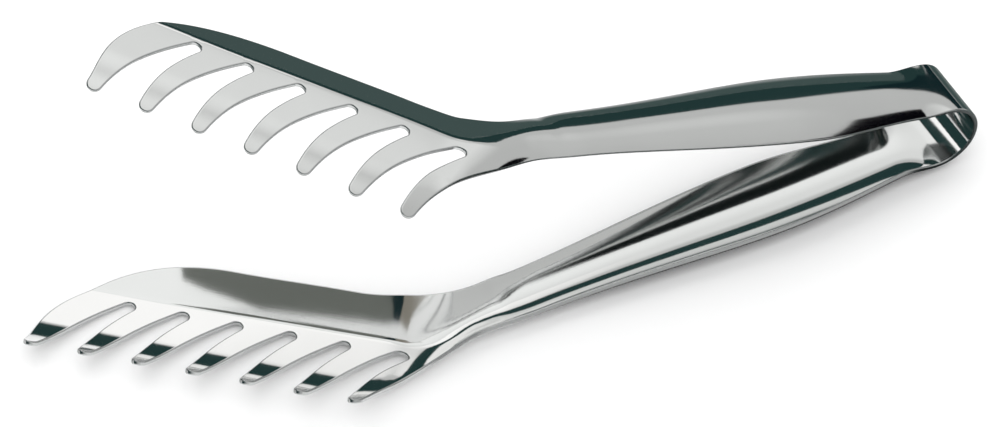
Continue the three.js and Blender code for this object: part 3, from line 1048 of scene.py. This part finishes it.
def add_fading_disc(name, colour, radius, centre, fades, lift):
    """A glowing disc just above the floor, clear at the first distance and full at the second."""
    disc = add_disc(name, radius, (*centre, lift))
    finish = glowing(name)
    finish.feed(finish.shader, "Emission Color", colour)
    place = finish.node("ShaderNodeTexCoord", {}, {}, "Object")
    away = finish.node("ShaderNodeVectorMath", {"operation": "LENGTH"}, {0: place}, "Value")
    limits = {"Value": away, "From Min": fades[0], "From Max": fades[1]}
    share = finish.node("ShaderNodeMapRange", {"interpolation_type": "SMOOTHSTEP"}, limits)
    clear = finish.node("ShaderNodeBsdfTransparent", {}, {})
    glow = Value(finish.tree, finish.shader.outputs[0])
    mix = finish.node("ShaderNodeMixShader", {}, {0: share, 1: clear, 2: glow})
    finish.feed(finish.tree.nodes["Material Output"], "Surface", mix)
    disc.data.materials.append(finish.data)
    seen_by_steel_only(disc)


add_fading_disc("table", TABLE_COLOUR, TABLE_RADIUS, PAPER_CENTRE, PAPER_FADES, LIFT)
# The shade disc is painted shade, not a real dark thing on the floor
add_fading_disc("shade", PAINTED_SHADE_COLOUR, SHADE_RADIUS, SHADE_CENTRE, SHADE_FADES, 2 * LIFT)
print(f"table: {2 * TABLE_RADIUS:.0f} m across, with a shade of {2 * SHADE_RADIUS:.2f} m under the grip")

# %% [markdown]
# ## Cards
# A photographer holds small cards close to the steel to paint one band at a time. Grey, green and brown
# hang between the arms for the wall of the lower comb. White ones hang higher up behind the tongs, and
# brighten the floor and the tines of the lower comb. Two upright ones stand beyond the bow: black for
# the deep line under the upper grip, green for the top of the bow.

# %% Outlines of the cards in metres: x and y where they lie flat, y and z where they stand
CARD_BETWEEN = 0.045
CARD_ABOVE = 0.15
CARD_BESIDE = 0.2
GREY_CARD = (0.15, 0.16, 0.145)
GREEN_CARD = (0.006, 0.02, 0.023)
BROWN_CARD = (0.25, 0.235, 0.20)
WHITE_CARD = (1.2, 1.19, 1.18)
PALE_CARD = (0.86, 0.86, 0.85)
BLACK_CARD = (0.0, 0.0, 0.001)
GREY_TOP = [(-0.0595, 0.0305), (-0.058, 0.0345), (-0.0255, 0.012)]
GREY_LOW = [(-0.027, 0.0008), (-0.037, 0.0078), (-0.049, 0.0172), (-0.0565, 0.0262)]
GREEN_OUTLINE = [(-0.0255, 0.012), (-0.027, 0.0008), (-0.0225, -0.003), (-0.0195, 0.0), (-0.0195, 0.006)]
BROWN_TOP = [(-0.0195, 0.006), (-0.0195, 0.0), (-0.0225, -0.003)]
BROWN_LOW = [(-0.015, -0.010), (-0.0105, -0.006), (-0.0105, -0.001)]
WHITE_OUTLINE = [(0.055, 0.11), (0.055, 0.26), (-0.12, 0.26), (-0.12, 0.11)]
FADING_OUTLINE = [(0.055, 0.26), (0.055, 0.11), (0.12, 0.11), (0.12, 0.26)]
BLACK_FAR = [(-0.12, 0.05), (-0.12, 0.15), (-0.10, 0.12), (-0.085, 0.103)]
BLACK_NEAR = [(-0.035, 0.10), (-0.012, 0.078), (-0.012, 0.05)]
BOW_OUTLINE = [(0.04, 0.02), (0.04, 0.055), (0.09, 0.055), (0.09, 0.02)]
print(f"cards: {CARD_BETWEEN} and {CARD_ABOVE} m up, and {CARD_BESIDE} m to the right")


# %% The cards
def add_card(name, corners, colours):
    return add_cloth(name, corners, [tuple(range(len(corners)))], colours)


def add_flat_card(name, colour, outline, height):
    return add_card(name, [(x, y, height) for x, y in outline], [colour] * len(outline))


def add_upright_card(name, colour, outline):
    return add_card(name, [(CARD_BESIDE, y, z) for y, z in outline], [colour] * len(outline))


fading_corners = [(x, y, CARD_ABOVE) for x, y in FADING_OUTLINE]
cards = [
    add_flat_card("card_grey", GREY_CARD, GREY_TOP + GREY_LOW, CARD_BETWEEN),
    add_flat_card("card_green", GREEN_CARD, GREEN_OUTLINE, CARD_BETWEEN),
    add_flat_card("card_brown", BROWN_CARD, BROWN_TOP + BROWN_LOW, CARD_BETWEEN),
    add_flat_card("card_white", WHITE_CARD, WHITE_OUTLINE, CARD_ABOVE),
    add_upright_card("card_black", BLACK_CARD, BLACK_FAR + BLACK_NEAR),
    add_upright_card("card_bow", GREEN_CARD, BOW_OUTLINE),
    add_card("card_fading", fading_corners, [WHITE_CARD, WHITE_CARD, PALE_CARD, PALE_CARD]),
]
print("cards:", len(cards))
